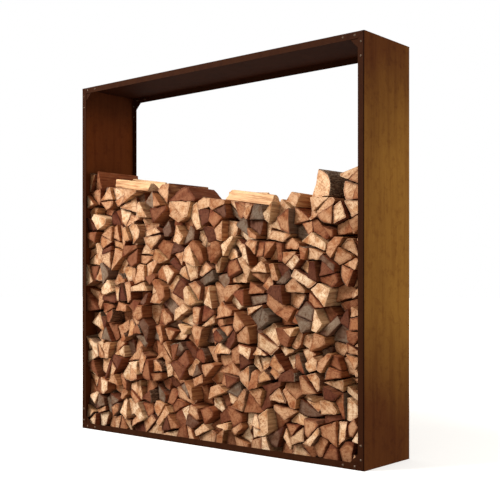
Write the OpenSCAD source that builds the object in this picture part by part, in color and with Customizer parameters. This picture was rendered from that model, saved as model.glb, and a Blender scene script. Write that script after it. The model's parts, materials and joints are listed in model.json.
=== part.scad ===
// Firewood rack: a tall box frame of folded weathering-steel panels, open at the front and the
// back, screwed together through corner plates and loaded with split logs.
// Millimetres. The origin is the middle of the footprint on the floor, +Z up, the front at -Y.

/* [Rack] */
// Overall width across the side panels
rack_w = 1800; // [1500:50:2200]
// Overall depth across the flanges, without the screw heads
rack_d = 370; // [350:5:420]
// Overall height
rack_h = 1830; // [1700:10:2200]

/* [Folded sheet] */
// Thickness of the steel sheet
sheet = 3; // [2:0.5:3]
// Width of the flange folded inwards along each open edge
flange_w = 30; // [28:1:40]
// Outer radius of the folds
fold_r = 4; // [3.5:0.5:5]
// Gap along the mitre where two flanges meet
mitre_gap = 0.6; // [0.2:0.1:1.5]

/* [Corner joints] */
// Length of a corner plate's leg
plate_leg = 125; // [115:5:160]
// Leg of the triangle that fills the inside of a corner
plate_gusset = 40; // [20:5:60]
// Distance of each leg's two screws from the corner
screw_places = [45, 105]; // [40:1:110]
// Diameter of the screws
screw_d = 6; // [5:1:6]

/* [Firewood] */
// Number that picks the arrangement of the logs
pile_seed = 22; // [1:1:99]
// Mean width of a round before it is split
round_w = 120; // [110:2:135]
// Mean height of a course
course_h = 98; // [94:2:104]
// How far a round strays from its place, as a share of its size
stray = 0.3; // [0.1:0.05:0.35]
// Gap between neighbouring logs
log_gap = 2.5; // [1.5:0.5:5]
// Rounds with a larger end than this, in square millimetres, are split
split_area = 6300; // [6000:200:9000]
// Shortest and longest log
log_length = [258, 338]; // [250:1:340]

/* [Hidden] */
flange_mid = flange_w / 2;
inner_r = fold_r - sheet;
hole_r = screw_d / 2 + 0.25;
thread_r = screw_d / 2 + 0.1;
nut_across = 10;
nut_h = 5;
head_r = 5.25;
head_h = 3.3;
screw_tip = 2;
plate_back = 2 * sheet;
plate_inset = sheet + inner_r + 0.5;
screw_l = plate_back + nut_h + screw_tip;
behind_plates = screw_l + 3;

rust = [0.36, 0.20, 0.09];
dark_steel = [0.20, 0.13, 0.10];
bright_steel = [0.55, 0.50, 0.45];
wood_tones = [[0.82, 0.62, 0.42], [0.74, 0.50, 0.32], [0.66, 0.42, 0.27], [0.58, 0.44, 0.33]];

// Logs lying loose on top. Each is [middle in x and y, turn from the Y axis, slope down to +X,
// height of the seat under its middle, end shape, width, height, length].
loose_logs = [
    [[-640, 58], 88, 8.5, 1280, "wedge", 66, 60, 300],
    [[-560, -88], 86, 8.5, 1268, "shallow_wedge", 84, 46, 300],
    [[-190, -4], 3, 3, 1184, "wedge", 165, 76, 310],
    [[60, 74], 88, 5, 1186, "shallow_wedge", 80, 44, 300],
    [[205, -62], 83, 9, 1158, "wedge", 84, 54, 320],
    [[500, -8], -4, 24, 1128, "billet", 64, 60, 296],
    [[660, -10], -4, 3, 1155, "quarter_round", 128, 128, 300]];

CORNERS = ["bottom_left", "bottom_right", "top_left", "top_right"];
COURSES = 14;
NODES = concat(
    ["bottom_panel", "top_panel", "left_panel", "right_panel"],
    [for (face = ["front", "rear"]) for (c = CORNERS) str("plate_", face, "_", c)],
    [for (face = ["front", "rear"]) for (c = CORNERS) str("screws_", face, "_", c)],
    [for (face = ["front", "rear"]) for (c = CORNERS) str("nuts_", face, "_", c)],
    [for (j = [0 : COURSES - 1]) course_name(j)],
    [for (k = [1 : len(loose_logs)]) str("loose_log_", k)]);
node = "all";

function course_name(j) = str("log_course_", j < 9 ? "0" : "", j + 1);
function shown(name) = node == "all" || node == name;

// ---- Folded panels ------------------------------------------------------------------------

// A rectangle standing on the x axis with its two lower corners rounded.
module tray_outline(width, height, r) {
    translate([-width / 2 + r, 0]) square([width - 2 * r, height]);
    translate([-width / 2, r]) square([width, height - r]);
    for (side = [-1, 1]) translate([side * (width / 2 - r), r]) circle(r, $fn = 48);
}

module channel_section() difference() {
    tray_outline(rack_d, flange_w, fold_r);
    translate([0, sheet]) tray_outline(rack_d - 2 * sheet, flange_w, inner_r);
}

// What a 45 degree mitre takes off both flanges at a channel's +X end. start is how far from
// the end the cut begins, at the inside of the web.
module mitre_cut(start) {
    rise = flange_w + 1 - sheet;
    rotate([90, 0, 0]) linear_extrude(rack_d + 2, center = true)
        polygon([[1, sheet], [-start, sheet], [-start - rise, flange_w + 1], [1, flange_w + 1]]);
}

// A panel along X with its web on z = 0 and its flanges up. first_hole is how far the screws
// nearest to the end are from it.
module channel(length, mitre_start, end_shift) difference() {
    rotate([90, 0, 90]) linear_extrude(length, center = true) channel_section();
    for (end = [0, 1]) mirror([end, 0, 0]) {
        translate([length / 2, 0, 0]) mitre_cut(mitre_start);
        for (place = screw_places)
            translate([length / 2 - place + end_shift, 0, flange_mid]) rotate([90, 0, 0])
                cylinder(r = hole_r, h = rack_d + 2, center = true, $fn = 32);
    }
}

module flat_panel() channel(rack_w, sheet + mitre_gap, 0);
module side_panel() translate([rack_w / 2, 0, rack_h / 2]) rotate([0, -90, 0])
    channel(rack_h - 2 * sheet, mitre_gap, sheet);

module bottom_panel() color(rust) flat_panel();
module top_panel() color(rust) translate([0, 0, rack_h]) mirror([0, 0, 1]) flat_panel();
module right_panel() color(rust) side_panel();
module left_panel() color(rust) mirror([1, 0, 0]) side_panel();

// ---- Corner joints ------------------------------------------------------------------------

// Draws a corner's parts, made for the front bottom left corner with its outer corner at the
// origin, in any corner of either face.
module in_corner(face, corner) {
    flip_x = (corner == "bottom_right" || corner == "top_right") ? 1 : 0;
    flip_z = (corner == "top_left" || corner == "top_right") ? 1 : 0;
    mirror([0, face == "rear" ? 1 : 0, 0]) mirror([flip_x, 0, 0])
        translate([0, 0, rack_h / 2]) mirror([0, 0, flip_z])
            translate([-rack_w / 2, -rack_d / 2, -rack_h / 2]) children();
}

module at_screws() {
    for (place = screw_places) {
        translate([place, 0, flange_mid]) children();
        translate([flange_mid, 0, place]) children();
    }
}

// An L-shaped plate behind the flanges, with a triangle across its inside corner.
module corner_plate() color(rust) difference() {
    a = plate_inset;
    b = flange_w - 0.5;
    c = flange_w + plate_gusset;
    tip = 4;
    translate([0, plate_back, 0]) rotate([90, 0, 0]) linear_extrude(sheet)
        polygon([[a, a], [plate_leg - tip, a], [plate_leg, a + tip], [plate_leg, b - tip],
                 [plate_leg - tip, b], [c, b], [b, c], [b, plate_leg - tip],
                 [b - tip, plate_leg], [a + tip, plate_leg], [a, plate_leg - tip]]);
    at_screws() rotate([90, 0, 0]) cylinder(r = hole_r, h = 6 * sheet, center = true, $fn = 32);
}

// Button-head socket screw, its head on the flange's outer face.
module screw() color(bright_steel) {
    dome_r = (head_r * head_r + head_h * head_h) / (2 * head_h);
    difference() {
        union() {
            intersection() {
                translate([0, dome_r - head_h, 0]) sphere(dome_r, $fn = 48);
                rotate([90, 0, 0]) cylinder(r = head_r + 1, h = head_h + 1, $fn = 48);
            }
            rotate([-90, 0, 0]) cylinder(d = screw_d, h = screw_l, $fn = 32);
        }
        translate([0, -head_h - 1, 0]) rotate([-90, 0, 0])
            cylinder(d = 4 / cos(30), h = 3, $fn = 6);
    }
}

module nut() color(dark_steel) translate([0, plate_back, 0]) rotate([-90, 0, 0]) difference() {
    cylinder(d = nut_across / cos(30), h = nut_h, $fn = 6);
    translate([0, 0, -1]) cylinder(r = thread_r, h = nut_h + 2, $fn = 32);
}

// ---- Polygons of the log ends, in x and z ---------------------------------------------------

hair = 0.000001;

// The part of a convex polygon where n * p <= d.
function clip(poly, n, d) = len(poly) == 0 ? [] : [
    for (k = [0 : len(poly) - 1])
        let (a = poly[k], b = poly[(k + 1) % len(poly)], da = n * a - d, db = n * b - d)
            each concat(da * db < -hair ? [a + (b - a) * da / (da - db)] : [],
                        db < hair ? [b] : [])];

// Clips by every plane in a list of [normal, distance].
function clip_all(poly, planes, k = 0) =
    k >= len(planes) ? poly : clip_all(clip(poly, planes[k][0], planes[k][1]), planes, k + 1);

function total(list, k = 0) = k >= len(list) ? list[0] * 0 : list[k] + total(list, k + 1);
function area(p) = len(p) < 3 ? 0 : abs(total([
    for (k = [0 : len(p) - 1]) let (q = p[(k + 1) % len(p)]) (p[k].x * q.y - q.x * p[k].y) / 2]));
function middle(p) = total(p) / len(p);
function unit(v) = v / norm(v);
function left_of(p) = min([for (q = p) q.x]);
function right_of(p) = max([for (q = p) q.x]);
function top_of(p) = max([for (q = p) q.y]);

// Eight random numbers that belong to round i of course j and to piece k of it.
function chance(i, j, k) = rands(0, 1, 8, pile_seed * 7919 + (i + 5) * 613 + j * 37 + k * 10007);

// ---- The pile -----------------------------------------------------------------------------

pile_side = rack_w / 2 - sheet - 1;
pile_floor = sheet + 0.5;
columns = round(2 * pile_side / round_w);
pitch = 2 * pile_side / columns;
smallest_end = 1000;
seat_gap = 0.5;

// Height of the stacked logs along x.
pile_top = [[-900, 1394], [-780, 1390], [-760, 1340], [-450, 1300], [-300, 1272], [-80, 1238],
            [60, 1234], [320, 1205], [420, 1176], [560, 1200], [620, 1230], [780, 1262],
            [900, 1288]];

// The middle of round i of course j. Every second course is moved along by half a round.
function place(i, j) = let (r = chance(i, j, 0)) [
    -pile_side + (i + 0.3 + 0.5 * (j % 2) + stray * (r[0] * 2 - 1)) * pitch,
    pile_floor + (j + 0.45 + stray * 0.8 * (r[1] * 2 - 1)) * course_h];
function in_pile(p) = abs(p.x) < pile_side && p.y < ceiling(p.x) - 0.25 * course_h;
// Where the stacked logs must stop at x: at the pile's top, or under a loose log.
function ceiling(x) = min(concat([lookup(x, pile_top)], [for (log = loose_logs)
    if (abs(x - log[0].x) < half_span(log)) seat_at(log, x)]));

// The plane, at a slant, that tops the pile at a round.
function crest(p, r) = let (n = [sin((r - 0.5) * 60), cos((r - 0.5) * 60)])
    [n, n * [p.x, lookup(p.x, pile_top)]];

// The planes that keep a round's end clear of the loose logs. Half of the rounds under a log
// carry it, and the others stop a little lower, at a slight angle. Rounds beside it stop at
// the corner of its seat.
function clear_of_loose(p, r) = [for (log = loose_logs) let (
        away = p.x - log[0].x,
        drop = max(0, r * 6 - 3),
        angle = log_slope(log) + (floor(r * 97) % 2 * 2 - 1) * atan(drop / (0.5 * pitch)),
        seat = [sin(log_slope(log)), cos(log_slope(log))],
        under = [sin(angle), cos(angle)],
        edge = log[0].x + (away > 0 ? 1 : -1) * half_span(log),
        seat_end = [edge, seat_at(log, edge)],
        beside = unit([edge - p.x, max(0, seat_end.y - p.y)]))
    each abs(away) > half_span(log) + 2 * pitch ? []
        : abs(away) > half_span(log) ? [[beside, beside * seat_end]]
        : [[seat, seat * [p.x, seat_at(log, p.x) - seat_gap]],
           [under, under * [p.x, seat_at(log, p.x) - drop - seat_gap]]]];

// All that is nearer to round i of course j than to any neighbour, less half the gap.
function round_end(i, j) = let (p = place(i, j), reach = 1.5 * pitch, r = chance(i, j, 0)) clip_all(
    [p + [-reach, -reach], p + [reach, -reach], p + [reach, reach], p + [-reach, reach]],
    concat(
        [[[1, 0], pile_side], [[-1, 0], pile_side], [[0, -1], -pile_floor], crest(p, r[3])],
        [for (di = [-2 : 2]) for (dj = [-2 : 2])
            let (q = place(i + di, j + dj), n = unit(q - p))
            if ((di != 0 || dj != 0) && j + dj >= 0 && in_pile(q))
                [n, n * (p + q) / 2 - log_gap / 2]],
        clear_of_loose(p, r[2])));

// Halves a large end across its length, within 30 degrees, and its halves again while large.
function split(poly, i, j, k) = area(poly) < smallest_end ? [] : let (
        r = chance(i, j, k), c = middle(poly) + [r[1] - 0.5, r[2] - 0.5] * 0.2 * pitch,
        far = max([for (v = poly) norm(v - c)]),
        spoke = [for (v = poly) if (norm(v - c) == far) v - c][0] / far,
        a = 60 * (r[3] - 0.5),
        n = [spoke.x * cos(a) - spoke.y * sin(a), spoke.x * sin(a) + spoke.y * cos(a)])
    area(poly) < split_area || k > 3 ? [[poly, k]] : concat(
        split(clip(poly, n, n * c - log_gap / 2), i, j, 2 * k),
        split(clip(poly, -n, -n * c - log_gap / 2), i, j, 2 * k + 1));

function corner(p, k) = p[(k + len(p)) % len(p)];
function corner_area(p, k) = area([corner(p, k - 1), p[k], corner(p, k + 1)]);

// Leaves out the flattest corners until few remain, or the next would take too much away.
function plainer(p, few) = let (
        losses = [for (k = [0 : len(p) - 1]) corner_area(p, k)], least = min(losses),
        flattest = [for (k = [0 : len(p) - 1]) if (losses[k] == least) k][0])
    len(p) <= few || least > 0.13 * area(p) ? p
        : plainer([for (k = [0 : len(p) - 1]) if (k != flattest) p[k]], few);

// Slants the side from corner k to the next inwards, so that it parts from its neighbour's.
function shaved(p, k, angle) = let (
        a = corner(p, k), e = unit(corner(p, k + 1) - a),
        n = [e.y, -e.x] * cos(angle) + e * sin(angle))
    clip(p, n, n * a);

// A split log's end within its share of the round. Two in five have the round bark side of a
// quartered trunk, about one of their corners.
function log_end(poly, r) = let (
        plain = plainer(poly, [3, 4, 4, 5][floor(r[4] * 3.99)]),
        once = shaved(plain, floor(r[5] * 7.99), 1 + 5 * r[7]),
        cut = shaved(once, floor(r[7] * 7.99), 1 + 4 * r[5]),
        pith = corner(cut, floor(r[3] * 7.99)),
        far = max([for (v = cut) norm(v - pith)]),
        bark = r[6] < 0.42 ? [for (a = [0 : 18 : 359]) let (n = [cos(a), sin(a)])
            [n, n * pith + far * (0.77 + 0.12 * r[7])]] : [])
    clip_all(cut, bark);

// Whether a log lies right under a loose one.
function bears(poly) = let (x = middle(poly).x) len([for (log = loose_logs)
    if (abs(x - log[0].x) < half_span(log) && top_of(poly) > seat_at(log, x) - 0.3 * course_h)
        log]) > 0;

// Where a log starts behind the front face and where it ends. Logs behind a flange stay clear
// of the corner plates, nuts and screw ends.
function span(poly, j, r) = let (
        length = log_length[0] + (log_length[1] - log_length[0]) * r[0],
        behind_flange = j == 0 || max(abs(left_of(poly)), abs(right_of(poly)))
            > rack_w / 2 - max(flange_w, plate_leg),
        clear = behind_flange ? behind_plates : 2,
        start = -rack_d / 2 + clear + (rack_d - clear - behind_plates - length) * r[1])
    [start, start + length];

module split_log(poly, ends, tone) color(wood_tones[tone])
    translate([0, ends[1], 0]) rotate([90, 0, 0]) linear_extrude(ends[1] - ends[0]) polygon(poly);

module log_course(j) {
    for (i = [-1 : columns]) if (in_pile(place(i, j)))
        for (piece = split(round_end(i, j), i, j, 1)) {
            r = chance(i, j, piece[1] + 20);
            poly = bears(piece[0]) ? piece[0] : log_end(piece[0], r);
            if (area(poly) > smallest_end) split_log(poly, span(poly, j, r), floor(r[2] * 3.99));
        }
}

// ---- Loose logs on top ----------------------------------------------------------------------

function log_turn(log) = log[1];
function log_slope(log) = log[2];
function log_seat(log) = log[3];
function log_w(log) = log[5];
function log_h(log) = log[6];
function log_l(log) = log[7];
// Half of what a loose log covers along x, and a little more.
function half_span(log) = 10 + log_h(log) * sin(abs(log_slope(log)))
    + (log_l(log) * abs(sin(log_turn(log))) + log_w(log) * abs(cos(log_turn(log)))) / 2;
// Height of the seat's slope at x.
function seat_at(log, x) = log_seat(log) - (x - log[0].x) * tan(log_slope(log));

module end_shape(shape, w, h) {
    if (shape == "quarter_round") intersection() {
        translate([-w * 0.5, 0]) circle(w, $fn = 64);
        translate([-w * 0.5, 0]) square([w, h]);
    }
    if (shape == "wedge") polygon([[-w * 0.5, 0], [w * 0.46, 0], [w * 0.5, h * 0.18],
                                   [w * 0.1, h], [-w * 0.12, h * 0.94]]);
    if (shape == "shallow_wedge") polygon([[-w * 0.46, 0], [w * 0.48, 0], [w * 0.5, h * 0.2],
                                           [-w * 0.3, h], [-w * 0.5, h * 0.92]]);
    if (shape == "billet") polygon([[-w * 0.5, 0], [w * 0.5, 0], [w * 0.42, h * 0.9],
                                    [w * 0.3, h], [-w * 0.4, h * 0.86]]);
}

module loose_log(log) color(wood_tones[0]) translate([log[0].x, log[0].y, log_seat(log)])
    rotate([0, log_slope(log), 0]) rotate([90, 0, log_turn(log)])
        linear_extrude(log_l(log), center = true) end_shape(log[4], log_w(log), log_h(log));

// ---- Nodes ----------------------------------------------------------------------------------

if (shown("bottom_panel")) bottom_panel();
if (shown("top_panel")) top_panel();
if (shown("left_panel")) left_panel();
if (shown("right_panel")) right_panel();
for (face = ["front", "rear"]) for (c = CORNERS) {
    if (shown(str("plate_", face, "_", c))) in_corner(face, c) corner_plate();
    if (shown(str("screws_", face, "_", c))) in_corner(face, c) at_screws() screw();
    if (shown(str("nuts_", face, "_", c))) in_corner(face, c) at_screws() nut();
}
for (j = [0 : COURSES - 1]) if (shown(course_name(j))) log_course(j);
for (k = [0 : len(loose_logs) - 1]) if (shown(str("loose_log_", k + 1))) loose_log(loose_logs[k]);
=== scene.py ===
"""Firewood rack: folded weathering steel, bolted at its corners, loaded with split logs.

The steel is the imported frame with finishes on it. Each log is rebuilt from the prism that stands
for it in the frame: a split or barked outline with fibres, worn arrises and a sawn end. The
stacked logs lean together a little and swell inside the pile, so that it is not seen through.
Metres throughout, +Z up, the front at -Y.
"""

import json
import math

import bpy
import numpy as np
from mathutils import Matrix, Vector


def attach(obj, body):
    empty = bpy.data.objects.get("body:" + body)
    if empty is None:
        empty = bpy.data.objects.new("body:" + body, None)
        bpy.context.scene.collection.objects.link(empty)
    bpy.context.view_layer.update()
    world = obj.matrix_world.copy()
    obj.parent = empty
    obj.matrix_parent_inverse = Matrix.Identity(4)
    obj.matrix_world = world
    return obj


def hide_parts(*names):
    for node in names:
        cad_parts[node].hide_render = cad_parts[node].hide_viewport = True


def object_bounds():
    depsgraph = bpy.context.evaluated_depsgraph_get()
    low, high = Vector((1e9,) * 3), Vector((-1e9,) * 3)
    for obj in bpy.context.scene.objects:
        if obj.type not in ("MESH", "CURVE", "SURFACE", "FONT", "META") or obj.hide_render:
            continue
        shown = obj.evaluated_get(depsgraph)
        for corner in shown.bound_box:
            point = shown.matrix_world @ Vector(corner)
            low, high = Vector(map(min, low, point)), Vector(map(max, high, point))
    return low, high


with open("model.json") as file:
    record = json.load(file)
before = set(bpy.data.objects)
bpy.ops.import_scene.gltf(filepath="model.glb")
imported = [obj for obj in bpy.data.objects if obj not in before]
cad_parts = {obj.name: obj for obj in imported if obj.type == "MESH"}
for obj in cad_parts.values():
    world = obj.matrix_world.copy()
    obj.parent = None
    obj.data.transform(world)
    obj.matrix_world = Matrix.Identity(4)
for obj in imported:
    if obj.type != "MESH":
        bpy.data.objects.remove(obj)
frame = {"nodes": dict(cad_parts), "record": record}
cad_box = [list(corner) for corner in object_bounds()]
cad_high = cad_box[1]

MM = 0.001
SHEET = 3 * MM
SCREW_HEAD = 2.9 * MM
WALL = cad_high[0] - SHEET - 0.5 * MM
GROUND = SHEET + 0.3 * MM
rng = np.random.default_rng(451)


# ---- Shader graphs ---------------------------------------------------------------------------


def linear(red, green, blue):
    """An sRGB colour, 0 to 255, as linear RGBA."""
    channels = [c / 255 for c in (red, green, blue)]
    return [c / 12.92 if c <= 0.04045 else ((c + 0.055) / 1.055) ** 2.4 for c in channels] + [1.0]


class Graph:
    """A material under construction. Each method adds a node and returns its output."""

    def __init__(self, name):
        self.material = bpy.data.materials.new(name)
        self.material.use_nodes = True
        self.nodes = self.material.node_tree.nodes
        self.links = self.material.node_tree.links
        self.surface = next(n for n in self.nodes if n.type == "BSDF_PRINCIPLED")

    def put(self, socket, value):
        if isinstance(value, bpy.types.NodeSocket):
            self.links.new(value, socket)
        elif value is not None:
            socket.default_value = value

    def node(self, kind, inputs=(), **settings):
        node = self.nodes.new(kind)
        for key, value in settings.items():
            setattr(node, key, value)
        for key, value in dict(inputs).items():
            self.put(node.inputs[key], value)
        return node

    def math(self, operation, a, b=None, c=None, clamp=False):
        inputs = {i: v for i, v in enumerate((a, b, c)) if v is not None}
        return self.node("ShaderNodeMath", inputs, operation=operation, use_clamp=clamp).outputs[0]

    def vector(self, operation, a, b=None):
        inputs = {i: v for i, v in enumerate((a, b)) if v is not None}
        return self.node("ShaderNodeVectorMath", inputs, operation=operation).outputs[0]

    def length(self, a):
        return self.node("ShaderNodeVectorMath", {0: a}, operation="LENGTH").outputs["Value"]

    def split(self, vector):
        return self.node("ShaderNodeSeparateXYZ", {0: vector}).outputs

    def join(self, x, y, z):
        return self.node("ShaderNodeCombineXYZ", {0: x, 1: y, 2: z}).outputs[0]

    def attribute(self, name):
        return self.node("ShaderNodeAttribute", attribute_name=name).outputs

    def place(self):
        return self.node("ShaderNodeTexCoord").outputs["Object"]

    def noise(self, vector, scale, detail=3.0, roughness=0.55, distortion=0.0):
        inputs = {"Vector": vector, "Scale": scale, "Detail": detail, "Roughness": roughness,
                  "Distortion": distortion}
        return self.node("ShaderNodeTexNoise", inputs).outputs["Fac"]

    def voronoi(self, vector, scale, feature="DISTANCE_TO_EDGE"):
        inputs = {"Vector": vector, "Scale": scale}
        return self.node("ShaderNodeTexVoronoi", inputs, feature=feature).outputs["Distance"]

    def spread(self, value, low, high, to_low=0.0, to_high=1.0):
        """value from low..high to to_low..to_high, smoothly and clamped."""
        inputs = {"Value": value, "From Min": low, "From Max": high, "To Min": to_low,
                  "To Max": to_high}
        return self.node("ShaderNodeMapRange", inputs, interpolation_type="SMOOTHSTEP").outputs[0]

    def mix(self, factor, a, b, blend="MIX"):
        node = self.node("ShaderNodeMix", data_type="RGBA", blend_type=blend)
        self.put(node.inputs[0], factor)
        self.put(node.inputs[6], a)
        self.put(node.inputs[7], b)
        return node.outputs[2]

    def ramp(self, factor, stops, interpolation="LINEAR"):
        node = self.node("ShaderNodeValToRGB", {"Fac": factor})
        node.color_ramp.interpolation = interpolation
        points = node.color_ramp.elements
        while len(points) < len(stops):
            points.new(0.5)
        for point, (position, colour) in zip(points, stops):
            point.position = position
            point.color = colour
        return node.outputs["Color"]

    def bump(self, height, distance, strength=1.0, normal=None):
        inputs = {"Height": height, "Distance": distance, "Strength": strength, "Normal": normal}
        return self.node("ShaderNodeBump", inputs).outputs["Normal"]

    def finish(self, colour, roughness, normal, metallic=0.0, specular=0.5):
        self.put(self.surface.inputs["Base Color"], colour)
        self.put(self.surface.inputs["Roughness"], roughness)
        self.put(self.surface.inputs["Normal"], normal)
        self.surface.inputs["Metallic"].default_value = metallic
        self.surface.inputs["Specular IOR Level"].default_value = specular
        return self.material


# ---- Wood ------------------------------------------------------------------------------------

# Every log carries "grain", a point's place in the log (across, up, along, from the pith, in
# metres), and "chance", four numbers of its own: tone, heart, wear, and how near the outline.


def log_coordinates(g):
    """The parts of "grain" and "chance", and the place moved to its own spot in the noise."""
    across, up, along = g.split(g.attribute("grain")["Vector"])[:3]
    chance = g.attribute("chance")
    tone, heart, wear = g.split(chance["Vector"])[:3]
    shifted = g.math("MULTIPLY_ADD", tone, 7.0, across)
    return across, up, along, shifted, tone, heart, wear, chance["Alpha"]


def darker(g, amount, colour, tint):
    """colour multiplied by tint where amount is 1."""
    return g.mix(amount, colour, g.mix(1.0, colour, linear(*tint), "MULTIPLY"))


def end_grain():
    """A sawn end: growth rings about the pith, a darker heart, drying checks and saw marks."""
    g = Graph("end_grain")
    across, up, _, shifted, tone, heart, wear, rim = log_coordinates(g)
    flat = g.join(shifted, up, g.math("MULTIPLY", heart, 3.0))
    radius = g.length(g.join(across, up, 0.0))
    wobble = g.math("MULTIPLY_ADD", g.noise(flat, 28.0, 3.0), 0.014, radius)
    spacing = g.math("MULTIPLY_ADD", heart, 0.0030, 0.0028)
    phase = g.math("FRACT", g.math("DIVIDE", wobble, spacing))
    late = g.math("SUBTRACT", g.spread(phase, 0.45, 0.95), g.spread(phase, 0.95, 1.0))

    sap = g.ramp(tone, [(0.0, linear(244, 220, 186)), (0.14, linear(232, 200, 162)),
                        (0.34, linear(216, 176, 138)), (0.56, linear(196, 150, 112)),
                        (0.72, linear(170, 118, 82)), (0.84, linear(134, 84, 56)),
                        (0.91, linear(104, 60, 40)), (0.95, linear(142, 123, 104)),
                        (1.0, linear(116, 102, 88))])
    core = g.ramp(tone, [(0.0, linear(214, 166, 116)), (0.4, linear(184, 124, 78)),
                         (0.8, linear(128, 68, 40)), (0.93, linear(96, 50, 34)),
                         (1.0, linear(112, 88, 70))])
    heart_edge = g.math("MULTIPLY_ADD", heart, 0.065, 0.008)
    inside = g.math("SUBTRACT", 1.0, g.spread(g.math("DIVIDE", wobble, heart_edge), 0.7, 1.1))
    colour = g.mix(g.math("MULTIPLY", inside, 0.8), sap, core)
    colour = darker(g, g.spread(g.noise(flat, 24.0, 5.0, 0.65), 0.44, 0.66, 0.0, 0.8), colour,
                    (204, 168, 134))
    colour = darker(g, g.spread(g.noise(flat, 95.0, 4.0, 0.7), 0.50, 0.68, 0.0, 0.75), colour,
                    (178, 134, 98))
    slant = g.math("MULTIPLY", heart, math.pi)
    fibre = g.noise(g.join(g.math("ADD", g.math("MULTIPLY", across, g.math("COSINE", slant)),
                                  g.math("MULTIPLY", up, g.math("SINE", slant))),
                           g.math("MULTIPLY", radius, 0.12), wear), 260.0, 4.0, 0.65)
    colour = darker(g, g.spread(fibre, 0.46, 0.70, 0.0, 0.6), colour, (168, 122, 88))
    colour = darker(g, g.math("MULTIPLY", late, 0.42), colour, (168, 116, 80))

    turn = g.math("ARCTAN2", up, across)
    spoke = g.join(g.math("COSINE", turn), g.math("SINE", turn), g.math("MULTIPLY", wear, 31.0))
    rays = g.noise(spoke, 26.0, 4.0, 0.7)
    colour = darker(g, g.spread(rays, 0.50, 0.70, 0.0, 0.35), colour, (176, 128, 96))
    check = g.spread(g.noise(spoke, 6.0, 5.0, 0.7), 0.640, 0.672)
    check = g.math("MULTIPLY", check, g.spread(radius, 0.004, 0.02))
    check = g.math("MULTIPLY", check, g.spread(wear, 0.2, 0.6))
    colour = g.mix(g.math("MULTIPLY", check, 0.85), colour, linear(58, 32, 20))

    swing = g.math("MULTIPLY", wear, 2 * math.pi)
    stroke = g.math("ADD", g.math("MULTIPLY", across, g.math("COSINE", swing)),
                    g.math("MULTIPLY", up, g.math("SINE", swing)))
    kerf = g.noise(g.join(g.math("MULTIPLY", stroke, 380.0), g.math("MULTIPLY", radius, 6.0), wear),
                   1.0, 2.0)
    colour = darker(g, g.spread(kerf, 0.35, 0.75, 0.0, 0.32), colour, (200, 158, 124))
    grime = g.math("MULTIPLY", g.spread(rim, 0.66, 1.0), g.spread(wear, 0.0, 1.0, 0.25, 0.8))
    colour = darker(g, grime, colour, (160, 104, 74))
    # Painted highlight: a pale rim along the outline of the lighter ends.
    colour = g.mix(g.math("MULTIPLY", g.spread(rim, 0.93, 1.0), g.spread(tone, 0.2, 0.7, 0.5, 0.0)),
                   colour, linear(236, 206, 168))

    height = g.math("MULTIPLY_ADD", kerf, 0.5, g.math("MULTIPLY", late, 0.25))
    height = g.math("SUBTRACT", height, g.math("MULTIPLY", check, 2.0))
    return g.finish(colour, 0.86, g.bump(height, 0.0008, 0.8), specular=0.2)


def split_face():
    """A cleft face: long fibres, torn ridges, and a tone between fresh cream and a darker red-brown
    that is partly aged wood and partly painted shade.
    """
    g = Graph("split_face")
    _, up, along, shifted, tone, heart, wear, _ = log_coordinates(g)
    fibre_place = g.join(shifted, up, g.math("MULTIPLY", along, 0.05))
    fibre = g.noise(fibre_place, 380.0, 4.0, 0.6)
    strand = g.noise(fibre_place, 85.0, 5.0, 0.65, 0.5)
    patch = g.noise(g.join(shifted, up, g.math("MULTIPLY", along, 0.3)), 26.0, 4.0, 0.6)
    fresh = g.ramp(tone, [(0.0, linear(232, 194, 150)), (0.25, linear(210, 162, 114)),
                          (0.5, linear(178, 122, 78)), (0.8, linear(140, 84, 50)),
                          (0.93, linear(108, 60, 36)), (1.0, linear(114, 99, 84))])
    # Partly aged wood, partly painted shade: the cleft sides are painted darker and redder than the
    # ends, as they lie in shade.
    aged_and_shaded_tone = g.ramp(heart, [(0.0, linear(158, 98, 60)), (0.35, linear(130, 70, 40)),
                          (0.7, linear(102, 50, 30)), (0.9, linear(128, 84, 58)),
                          (1.0, linear(114, 99, 84))])
    age_and_shade_share = g.math("MULTIPLY_ADD", patch, 1.3, g.math("MULTIPLY_ADD", wear, 0.9, -0.62))
    colour = g.mix(g.spread(age_and_shade_share, 0.15, 0.75), fresh, aged_and_shaded_tone)
    colour = darker(g, g.spread(strand, 0.42, 0.66, 0.0, 0.7), colour, (166, 112, 82))
    colour = darker(g, g.spread(fibre, 0.48, 0.74, 0.0, 0.6), colour, (148, 100, 74))
    torn = g.math("MULTIPLY", g.spread(fibre, 0.30, 0.44, 1.0, 0.0), g.spread(patch, 0.45, 0.6))
    colour = g.mix(g.math("MULTIPLY", torn, 0.45), colour, linear(208, 164, 122))
    height = g.math("MULTIPLY_ADD", fibre, 0.5, strand)
    return g.finish(colour, 0.88, g.bump(height, 0.0022, 1.0), specular=0.15)


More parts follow.
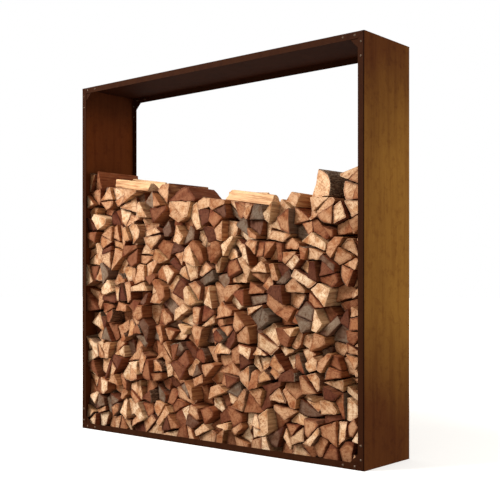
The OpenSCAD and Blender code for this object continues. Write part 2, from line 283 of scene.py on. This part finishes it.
def bark():
    """Furrowed bark: grey plates with a red-brown inside where they crack."""
    g = Graph("bark")
    _, up, along, shifted, _, heart, _, _ = log_coordinates(g)
    place = g.join(shifted, up, g.math("MULTIPLY", along, 0.28))
    shaken = g.vector("ADD", place, g.join(0.0, 0.0, g.math("MULTIPLY", g.noise(place, 60.0), 0.03)))
    furrow = g.voronoi(shaken, 95.0)
    scale = g.noise(place, 130.0, 5.0, 0.65)
    lichen = g.noise(g.join(shifted, up, along), 24.0, 3.0)
    plate = g.mix(g.spread(scale, 0.35, 0.7), linear(96, 72, 55), linear(160, 138, 116))
    plate = g.mix(g.spread(heart, 0.3, 0.9), plate, linear(126, 84, 58))
    plate = g.mix(g.spread(lichen, 0.56, 0.72, 0.0, 0.4), plate, linear(156, 148, 126))
    crack = g.math("SUBTRACT", 1.0, g.spread(furrow, 0.02, 0.16))
    colour = g.mix(g.math("MULTIPLY", crack, 0.8), plate, linear(66, 40, 27))
    height = g.math("MULTIPLY_ADD", scale, 0.4, g.spread(furrow, 0.0, 0.25))
    return g.finish(colour, 0.93, g.bump(height, 0.003, 1.0), specular=0.12)


# ---- Steel -----------------------------------------------------------------------------------


def corten(name):
    """Rusted steel, in lit and shaded versions of the one rust. The outer faces of the sides are
    painted ochre as if lit, the inner ones red-brown, and the flanges and the inside of the top and
    bottom almost black, as painted shade."""
    g = Graph(name)
    place = g.place()
    x, y, z = g.split(place)[:3]
    tall = g.join(x, y, g.math("MULTIPLY", z, 0.06))
    runs = g.noise(tall, 34.0, 5.0, 0.6)
    brush = g.noise(tall, 330.0, 3.0, 0.6)
    broad = g.noise(g.join(x, y, g.math("MULTIPLY", z, 0.4)), 5.5, 4.0, 0.6)
    blotch = g.noise(place, 26.0, 5.0, 0.7)
    grit = g.noise(place, 900.0, 3.0, 0.7)
    speck = g.noise(place, 210.0, 4.0, 0.7)

    face = g.math("ABSOLUTE", x)
    upright = g.spread(face, cad_high[0] - 12 * MM, cad_high[0] - 9 * MM)
    outside = g.spread(face, cad_high[0] - 0.9 * MM, cad_high[0] - 0.4 * MM)
    edge = g.math("SUBTRACT", cad_high[1] - SCREW_HEAD, g.math("ABSOLUTE", y))
    flange = g.math("SUBTRACT", 1.0, g.spread(edge, 4 * MM, 5 * MM))
    # Painted shade: the flanges and the inside of the top and bottom are painted almost black, and
    # the inner faces of the sides a darker red-brown than the outer ones.
    flat = g.mix(broad, linear(44, 18, 7), linear(58, 25, 9))
    side = g.mix(broad, linear(82, 39, 14), linear(102, 50, 18))
    # Painted shade under the top panel: the inner faces of the sides darken towards the top.
    lit = g.spread(z, 1.79, 1.60, 0.35, 1.0)
    inner = g.mix(g.math("MULTIPLY", upright, lit), flat, side)
    inner = g.mix(flange, inner, linear(51, 24, 8))
    # Painted light on the outer faces of the sides: a lighter ochre band about mid-height, brightest
    # towards the rear and darker at the top and bottom. The broad noise adds rust mottle to it.
    off_middle = g.math("ABSOLUTE", g.math("SUBTRACT", z, 0.98))
    painted_light_and_mottle = g.math("MULTIPLY_ADD", g.spread(off_middle, 0.20, 0.98), -1.0, 0.88)
    painted_light_and_mottle = g.math("MULTIPLY_ADD", g.math("SUBTRACT", broad, 0.5), 0.7, painted_light_and_mottle)
    painted_light_and_mottle = g.math("MULTIPLY_ADD", y, 0.9, painted_light_and_mottle, clamp=True)
    outer = g.mix(painted_light_and_mottle, linear(80, 42, 13), linear(130, 90, 35))
    colour = g.mix(outside, inner, outer)
    colour = darker(g, g.spread(runs, 0.44, 0.68, 0.0, 0.34), colour, (186, 150, 112))
    colour = darker(g, g.spread(brush, 0.40, 0.75, 0.0, 0.24), colour, (190, 150, 120))
    colour = darker(g, g.spread(blotch, 0.48, 0.7, 0.0, 0.34), colour, (176, 132, 104))
    colour = g.mix(g.spread(speck, 0.60, 0.75, 0.0, 0.22), colour, linear(140, 84, 34))
    colour = darker(g, g.spread(speck, 0.25, 0.40, 0.4, 0.0), colour, (130, 96, 80))
    # Painted shade: a dark line along the bend between each flange and the outer face of its side.
    fold_shade = g.math("SUBTRACT", 1.0, g.spread(g.math("ABSOLUTE", edge), 1 * MM, 7 * MM))
    fold_shade = g.math("MULTIPLY", fold_shade, g.spread(face, cad_high[0] - 5 * MM, cad_high[0] - 2 * MM))
    colour = darker(g, g.math("MULTIPLY", fold_shade, 0.7), colour, (96, 60, 44))
    rough = g.spread(grit, 0.3, 0.7, 0.66, 0.9)
    height = g.math("MULTIPLY_ADD", grit, 0.35, speck)
    return g.finish(colour, rough, g.bump(height, 0.0006, 0.6), specular=0.05)


def dull_steel():
    """Screws and nuts: grey steel with rust creeping in."""
    g = Graph("dull_steel")
    place = g.place()
    rust = g.spread(g.noise(place, 260.0, 4.0, 0.65), 0.42, 0.62)
    scratch = g.noise(place, 1500.0, 2.0)
    colour = g.mix(rust, linear(124, 108, 94), linear(88, 52, 30))
    rough = g.spread(scratch, 0.3, 0.7, 0.38, 0.6)
    return g.finish(colour, rough, g.bump(scratch, 0.0002, 0.4), metallic=0.75)


def paint(node, material):
    for slot in frame["nodes"][node].material_slots:
        slot.link = "OBJECT"
        slot.material = material


def finish_steel():
    sheet_steel, fastener = corten("weathering_steel"), dull_steel()
    for node in frame["nodes"]:
        if node.endswith("_panel") or node.startswith("plate_"):
            paint(node, sheet_steel)
        elif node.startswith(("screws_", "nuts_")):
            paint(node, fastener)


# ---- Logs from the frame's prisms --------------------------------------------------------------


def solids_of(node):
    """Each separate solid of a CAD node: its corners, and its faces' normals."""
    mesh = frame["nodes"][node].data
    points = np.array([v.co for v in mesh.vertices])
    corners, same = np.unique(np.round(points, 5), axis=0, return_inverse=True)
    same = same.ravel()
    label = np.arange(len(corners))
    edges = same[np.array([e.vertices for e in mesh.edges])]
    settled = False
    while not settled:
        before = label.copy()
        for a, b in ((0, 1), (1, 0)):
            np.minimum.at(label, edges[:, a], label[edges[:, b]])
        label = label[label]
        settled = np.array_equal(before, label)
    normals = np.array([p.normal for p in mesh.polygons])
    owner = label[same[np.array([p.vertices[0] for p in mesh.polygons])]]
    return [(corners[label == k], normals[owner == k]) for k in np.unique(label)]


def prism(corners, normals):
    """The frame of a prism: its origin on the front end, axes across, up and along, its outline
    as an anticlockwise ring of points, and its length."""
    best = None
    for n in np.unique(np.round(normals, 3), axis=0):
        n = n / np.linalg.norm(n)
        turned = np.abs(normals @ n)
        if np.all((turned < 0.02) | (turned > 0.98)):
            length = np.ptp(corners @ n)
            if best is None or length > best[1] + 1e-6:
                best = (n, length)
    along, length = best
    along = along if along[1] > 0 else -along
    across = np.cross(along, [0.0, 0.0, 1.0])
    across /= np.linalg.norm(across)
    up = np.cross(across, along)
    reach = corners @ along
    front = corners[reach < reach.min() + 0.1 * MM]
    origin = front.mean(0)
    outline = np.stack([(front - origin) @ across, (front - origin) @ up], 1)
    outline = outline[np.argsort(np.arctan2(outline[:, 1], outline[:, 0]))]
    return origin, (across, up, along), outline, length


def turns(outline):
    """How far the outline turns at each corner, in degrees."""
    ahead = np.roll(outline, -1, 0) - outline
    behind = outline - np.roll(outline, 1, 0)
    cross = behind[:, 0] * ahead[:, 1] - behind[:, 1] * ahead[:, 0]
    return np.degrees(np.arctan2(cross, (behind * ahead).sum(1)))


def bark_corners(outline):
    """The corners inside an arc: neighbours that turn by the same small angle."""
    turn = turns(outline)
    alike = (np.abs(turn - np.roll(turn, -1)) < 0.7) & (turn < 25)
    return alike | np.roll(alike, 1)


def circle_centre(a, b, c):
    rows = 2 * np.array([b - a, c - a])
    return np.linalg.solve(rows, np.array([b @ b - a @ a, c @ c - a @ a]))


def fine_outline(outline, step, chip):
    """The outline as closely spaced points, with small chamfers at its corners, and which of the
    points are bark. Returns also the pith, about which the growth rings run."""
    curved = bark_corners(outline)
    count = len(outline)
    if curved.any():
        arc = outline[curved]
        pith = circle_centre(arc[0], arc[len(arc) // 2], arc[-1]) if len(arc) > 2 else arc.mean(0) * 0
    else:
        sharp = outline[np.argmax(turns(outline))]
        pith = sharp * (1 + 0.35 * rng.random())
    points, barked = [], []
    for k in range(count):
        here, after = outline[k], outline[(k + 1) % count]
        edge = after - here
        size = np.linalg.norm(edge)
        is_bark = bool(curved[k] or curved[(k + 1) % count])
        start = 0.0 if curved[k] else min(0.3, chip[k % len(chip)] / size)
        stop = 1.0 if curved[(k + 1) % count] else 1 - min(0.3, chip[(k + 1) % len(chip)] / size)
        pieces = max(1, round((stop - start) * size / step))
        last = pieces + (0 if curved[(k + 1) % count] else 1)
        for t in np.linspace(start, stop, pieces + 1)[:last]:
            points.append(here + t * edge)
            barked.append(is_bark)
    points, barked = np.array(points), np.array(barked)
    if curved.any() and len(outline[curved]) > 2:
        away = points[barked] - pith
        size = np.linalg.norm(away, axis=1)
        points[barked] = pith + away / size[:, None] * np.minimum(size, np.median(size))[:, None]
    return points, barked, pith


def ripple(angle, along, waves, seed):
    """A sum of waves round the log that drift slowly along it, within about -1 to 1."""
    total = np.zeros(np.broadcast(angle, along).shape)
    for turns_round, size in waves:
        phase, drift = seed.uniform(0, 2 * math.pi), seed.normal(0, 2.2)
        total = total + size * np.sin(turns_round * angle + phase + drift * along / 0.3)
    return total


BROAD_WAVES = [(2, 0.5), (3, 0.6), (5, 0.4)]
FIBRE_WAVES = [(9, 0.5), (13, 0.5), (17, 0.4), (23, 0.3)]
RING_PLACES = np.array([0, 1.4, 7, 18, 36, 66, 105]) * MM
CAP_SCALES = [0.93, 0.6, 0.25]
OUTLINE_STEP = 8 * MM

# Tone, heart and wear of the loose logs: most are fresh and pale, the third is dark and red.
LOOSE_TONES = [(0.05, 0.30, 0.02), (0.10, 0.20, 0.10), (0.83, 0.60, 0.60), (0.04, 0.25, 0.00),
               (0.08, 0.40, 0.06), (0.30, 0.50, 0.15), (0.18, 0.35, 0.05)]


# How far apart two logs may be and still swell until they meet, and where along a log, from
# its nearer end, the swelling starts and is complete.
CLOSING_REACH = 60 * MM
SWELL_START, SWELL_FULL = 50 * MM, 100 * MM
# Height of the lowest loose log: the logs from there up do not lean.
LEAN_TOP = 1.10
# Stacked logs this near to a loose one, seen from the front, are not skewed, and where they are
# within the second distance of its box they do not swell.
CARRYING_GAP, BOX_GAP = 12 * MM, 3 * MM


def sides_of(prisms, boxes):
    """The sides of all stacked logs' outlines and of the boxes round the loose logs, in x and z:
    start, end and whose each one is, then the boxes."""
    corners = [outline + origin[[0, 2]] for origin, _, outline, _ in prisms]
    corners += [np.array([base, (top[0], base[1]), top, (base[0], top[1])]) for base, top in boxes]
    return (np.concatenate(corners), np.concatenate([np.roll(c, -1, 0) for c in corners]),
            np.repeat(np.arange(len(corners)), [len(c) for c in corners]), boxes)


def seen_box(solid):
    """The box round a log in x and z."""
    origin, (across, up, along), outline, length = solid
    ring = origin + outline[:, :1] * across + outline[:, 1:] * up
    both = np.concatenate([ring, ring + length * along])[:, [0, 2]]
    return both.min(0), both.max(0)


def near_loose(solid, loose_boxes):
    low, high = seen_box(solid)
    return any((low < top + CARRYING_GAP).all() and (high > base - CARRYING_GAP).all()
               for base, top in loose_boxes)


def room(points, aim, owner, sides):
    """How far each point of a log's outline may swell along its aim: halfway to the next log,
    or all the way to a wall or the floor."""
    starts, ends, owners, boxes = sides
    near = np.linalg.norm((starts + ends) / 2 - points.mean(0), axis=1) < 5 * CLOSING_REACH
    near &= owners != owner
    start, run = starts[near][None], (ends - starts)[near][None]
    gap = start - points[:, None]
    spread = aim[:, None, 0] * run[..., 1] - aim[:, None, 1] * run[..., 0]
    spread = np.where(np.abs(spread) < 1e-9, 1e-9, spread)
    reach = (gap[..., 0] * run[..., 1] - gap[..., 1] * run[..., 0]) / spread
    share = (gap[..., 0] * aim[:, None, 1] - gap[..., 1] * aim[:, None, 0]) / spread
    met = (share >= 0) & (share <= 1) & (reach > 0)
    free = 0.5 * np.where(met, reach, np.inf).min(1)
    tiny = 1e-6
    outwards = np.maximum(aim[:, 0] * np.sign(points[:, 0]), tiny)
    free = np.minimum(free, np.maximum(WALL - np.abs(points[:, 0]), 0) / outwards)
    free = np.minimum(free, np.maximum(points[:, 1] - GROUND, 0) / np.maximum(-aim[:, 1], tiny))
    free = np.where(free < 0.5 * CLOSING_REACH, free, 0)
    for base, top in boxes:
        free[((points > base - BOX_GAP) & (points < top + BOX_GAP)).all(1)] = 0
    return np.minimum(free, np.minimum(np.roll(free, 1), np.roll(free, -1)) + 6 * MM)


def log_mesh(solid, own=None, owner=None, sides=None, skewed=False):
    """Points, faces, material index of each face, and the grain and chance of each point."""
    origin, axes, outline, length = solid
    settle = 1.0 if skewed else 0.0
    ragged = 2.4 if own else 1.0
    across, up, along = axes
    chip = rng.uniform(1.0, 4.5, 8) * MM
    ring, barked, pith = fine_outline(outline, OUTLINE_STEP, chip)
    middle = ring.mean(0)
    count = len(ring)
    out = ring - middle
    size = np.linalg.norm(out, axis=1)
    angle = np.arctan2(out[:, 1], out[:, 0])

    depth = np.concatenate([RING_PLACES, [length / 2], length - RING_PLACES[::-1]])
    rings = len(depth)
    at = depth[:, None]
    broad = ripple(angle[None], at, BROAD_WAVES, rng)
    fibre = ripple(angle[None], at, FIBRE_WAVES, rng)
    rough = np.where(barked, 1.6, 1.3)[None]
    inset = (0.5 + broad * 1.5 * ragged + np.abs(fibre) * rough) * MM
    worn = rng.uniform(0.5, 1.6) * MM
    inset[[0, -1]] += worn
    inset = np.clip(inset, 0, 0.25 * size[None])
    shape = middle + out[None] * (1 - inset / size[None])[..., None]

    # A slight taper, twist, bend and skew, so that no two logs lie quite parallel.
    share = (at / length - 0.5)[..., None]
    twist = np.radians(rng.normal(0, 1.6)) * share[..., 0] * settle
    spun = shape - middle
    spun = np.stack([spun[..., 0] - twist * spun[..., 1], spun[..., 1] + twist * spun[..., 0]], -1)
    lean = rng.normal(0, 2.0, 2) * MM * settle
    bow = rng.normal(0, 1.5, 2) * MM * settle
    shape = middle + spun + lean * share + bow * (0.25 - share**2)

    # Inside the pile, where it is out of sight, the logs swell until they meet.
    if sides is not None:
        aim = out / size[:, None]
        free = room(ring + origin[[0, 2]], aim, owner, sides)
        inside = (np.minimum(at, length - at) - SWELL_START) / (SWELL_FULL - SWELL_START)
        shape = shape + (np.clip(inside, 0, 1) * free[None])[..., None] * aim[None]

    # Sawn ends: out of square, chipped along the outline.
    def cut():
        slope = rng.normal(0, 0.11 * ragged, 2)
        back = ring @ slope
        chips = np.clip(ripple(angle, np.zeros(1), [(4, 0.6), (7, 0.6), (11, 0.5)], rng) - 0.75, 0, 1)
        return slope, back.min(), chips * 7 * MM

    front_slope, front_low, front_chips = cut()
    rear_slope, rear_low, rear_chips = cut()
    start = ring @ front_slope - front_low
    end = length - (ring @ rear_slope - rear_low)
    run = start + (end - start) * (at / length)
    run[0] += front_chips
    run[-1] -= rear_chips

    points = [np.concatenate([shape.reshape(-1, 2), run.reshape(-1, 1)], 1)]
    rim = [np.ones(rings * count)]
    quads, kinds = [], []
    here = np.arange(count)
    after = np.roll(here, -1)
    side = np.where(barked & np.roll(barked, -1), 2, 1)
    for r in range(rings - 1):
        a, b = r * count, (r + 1) * count
        quads.append(np.stack([a + here, b + here, b + after, a + after], 1))
        kinds.append(side)

    total = rings * count
    caps = []
    for is_rear, slope, low, first in ((False, front_slope, front_low, 0),
                                       (True, rear_slope, rear_low, (rings - 1) * count)):
        outer = first
        edge = shape[-1] if is_rear else shape[0]
        for k, scale in enumerate(CAP_SCALES):
            flat = middle + (edge - edge.mean(0)) * scale + (edge.mean(0) - middle)
            dip = flat @ slope - low + rng.normal(0, 0.15, count) * MM
            y = length - dip if is_rear else dip
            points.append(np.concatenate([flat, y[:, None]], 1))
            rim.append(np.full(count, scale))
            ring_quads = np.stack([outer + here, outer + after, total + after, total + here], 1)
            quads.append(ring_quads[:, ::-1] if is_rear else ring_quads)
            kinds.append(np.where(side == 2, 2, 0) if k == 0 else np.zeros(count, int))
            outer = total
            total += count
        hub = edge.mean(0)
        dip = hub @ slope - low
        points.append(np.array([[hub[0], hub[1], length - dip if is_rear else dip]]))
        rim.append(np.zeros(1))
        fan = np.stack([outer + here, outer + after, np.full(count, total)], 1)
        caps.append(fan[:, ::-1] if is_rear else fan)
        total += 1

    local = np.concatenate(points)
    world = origin + local[:, :1] * across + local[:, 1:2] * up + local[:, 2:] * along
    grain = local - np.array([pith[0], pith[1], 0])
    chance = np.tile(np.append(own or rng.random(3), 0), (len(local), 1))
    chance[:, 3] = np.concatenate(rim)
    faces = [list(f) for q in quads for f in q] + [list(f) for q in caps for f in q]
    kinds = np.concatenate(kinds + [np.zeros(len(q), int) for q in caps])
    return world, faces, kinds, grain, chance


def sway(points):
    """Leans the stacked logs a little, neighbours alike, so that few gaps run straight through.
    The lean fades towards the walls and the floor, and is gone below the lowest loose log."""
    x, y, z = points.T
    depth = y / cad_high[1]
    aside = 16 * MM * np.cos(0.5 * math.pi * x / WALL) * np.clip((LEAN_TOP - z) / 0.35, 0, 1)
    upward = 9 * MM * np.sin(math.pi * np.clip(z / LEAN_TOP, 0, 1))
    return points + np.stack([aside * depth, 0 * y, upward * depth], 1)


def log_piece(name, node, logs, materials, body, own=None, sides=None):
    """All logs of a CAD node as one piece, in place of the node. logs holds the number and the
    prism of each, and whether it is skewed."""
    parts, faces, kinds, grains, chances, base = [], [], [], [], [], 0
    for owner, solid, skewed in logs:
        points, own_faces, own_kinds, grain, chance = log_mesh(solid, own, owner, sides, skewed)
        points = points if own else sway(points)
        points[:, 0] = np.clip(points[:, 0], -WALL, WALL)
        points[:, 2] = np.maximum(points[:, 2], GROUND)
        parts.append(points)
        faces += [[base + i for i in face] for face in own_faces]
        kinds.append(own_kinds)
        grains.append(grain)
        chances.append(chance)
        base += len(points)
    mesh = bpy.data.meshes.new(name)
    mesh.from_pydata(np.concatenate(parts).tolist(), [], faces)
    for material in materials:
        mesh.materials.append(material)
    mesh.polygons.foreach_set("material_index", np.concatenate(kinds).astype(np.int32))
    mesh.polygons.foreach_set("use_smooth", np.ones(len(mesh.polygons), bool))
    grain = mesh.attributes.new("grain", "FLOAT_VECTOR", "POINT")
    grain.data.foreach_set("vector", np.concatenate(grains).astype(np.float32).ravel())
    chance = mesh.attributes.new("chance", "FLOAT_COLOR", "POINT")
    chance.data.foreach_set("color", np.concatenate(chances).astype(np.float32).ravel())
    mesh.set_sharp_from_angle(angle=math.radians(38))
    mesh.update()
    piece = bpy.data.objects.new(name, mesh)
    bpy.context.scene.collection.objects.link(piece)
    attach(piece, body)
    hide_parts(node)
    return piece


def stack_logs():
    materials = [end_grain(), split_face(), bark()]
    bodies = frame["record"]["behaviour"]["bodies"]
    body_of = {node: body for body in bodies for node in bodies[body]}
    courses = sorted(node for node in body_of if node.startswith("log_course"))
    stacked = [(node, prism(*solid)) for node in courses for solid in solids_of(node)]
    loose = {node: [prism(*solid) for solid in solids_of(node)]
             for node in sorted(body_of) if node.startswith("loose_log")}
    loose_boxes = [seen_box(solid) for solids in loose.values() for solid in solids]
    sides = sides_of([solid for _, solid in stacked], loose_boxes)
    for node in courses:
        logs = [(k, solid, not near_loose(solid, loose_boxes))
                for k, (home, solid) in enumerate(stacked) if home == node]
        log_piece(node.replace("log_course", "split_logs"), node, logs, materials,
                  body_of[node], sides=sides)
    for node, solids in loose.items():
        logs = [(None, solid, False) for solid in solids]
        log_piece(node.replace("loose_log", "top_log"), node, logs, materials, body_of[node],
                  own=LOOSE_TONES[int(node[-1]) - 1])


# ---- Camera, light and floor -------------------------------------------------------------------


def camera():
    """Level, chest-high, 40 degrees to the right of the front, a little above half height."""
    data = bpy.data.cameras.new("camera")
    data.lens = 66.4
    data.shift_y = 0.067
    view = bpy.data.objects.new("camera", data)
    view.location = (2.9985, -3.4075, 0.779)
    view.rotation_euler = (math.radians(90), 0, math.radians(40.11))
    bpy.context.scene.collection.objects.link(view)
    bpy.context.scene.camera = view


def softbox(name, place, target, size, power, colour=(1, 1, 1)):
    data = bpy.data.lights.new(name, "AREA")
    data.shape = "RECTANGLE"
    data.size, data.size_y = size
    data.energy = power
    data.color = colour
    lamp = bpy.data.objects.new(name, data)
    lamp.location = place
    lamp.rotation_euler = (Vector(target) - Vector(place)).to_track_quat("-Z", "Y").to_euler()
    bpy.context.scene.collection.objects.link(lamp)


def studio():
    softbox("key", (-3.0, -4.3, 4.8), (0, 0, 0.9), (2.6, 2.6), 600)
    softbox("side", (3.6, 1.2, 1.35), (0.9, 0, 1.1), (1.0, 1.0), 42)
    world = bpy.data.worlds.new("studio")
    bpy.context.scene.world = world
    world.use_nodes = True
    nodes, links = world.node_tree.nodes, world.node_tree.links
    fill = nodes["Background"]
    fill.inputs["Color"].default_value = (1.0, 0.93, 0.81, 1)
    fill.inputs["Strength"].default_value = 0.67
    backdrop = nodes.new("ShaderNodeBackground")
    backdrop.inputs["Color"].default_value = (1, 1, 1, 1)
    ray = nodes.new("ShaderNodeLightPath")
    either = nodes.new("ShaderNodeMixShader")
    links.new(ray.outputs["Is Camera Ray"], either.inputs["Fac"])
    links.new(fill.outputs[0], either.inputs[1])
    links.new(backdrop.outputs[0], either.inputs[2])
    links.new(either.outputs[0], nodes["World Output"].inputs["Surface"])
    bpy.context.scene.view_settings.view_transform = "Standard"


def floor():
    mesh = bpy.data.meshes.new("floor")
    reach = 40.0
    mesh.from_pydata([(-reach, -reach, 0), (reach, -reach, 0), (reach, reach, 0),
                      (-reach, reach, 0)], [], [(0, 1, 2, 3)])
    ground = bpy.data.objects.new("floor", mesh)
    bpy.context.scene.collection.objects.link(ground)
    g = Graph("white_floor")
    away = g.spread(g.length(g.place()), 1.3, 3.4, 0.56, 1.0)
    g.put(g.surface.inputs["Emission Color"], g.join(away, away, away))
    g.surface.inputs["Emission Strength"].default_value = 1.0
    mesh.materials.append(g.finish([0.6, 0.6, 0.6, 1], 1.0, None, specular=0.0))
    ground.visible_diffuse = ground.visible_glossy = False


camera()
studio()
floor()
finish_steel()
stack_logs()
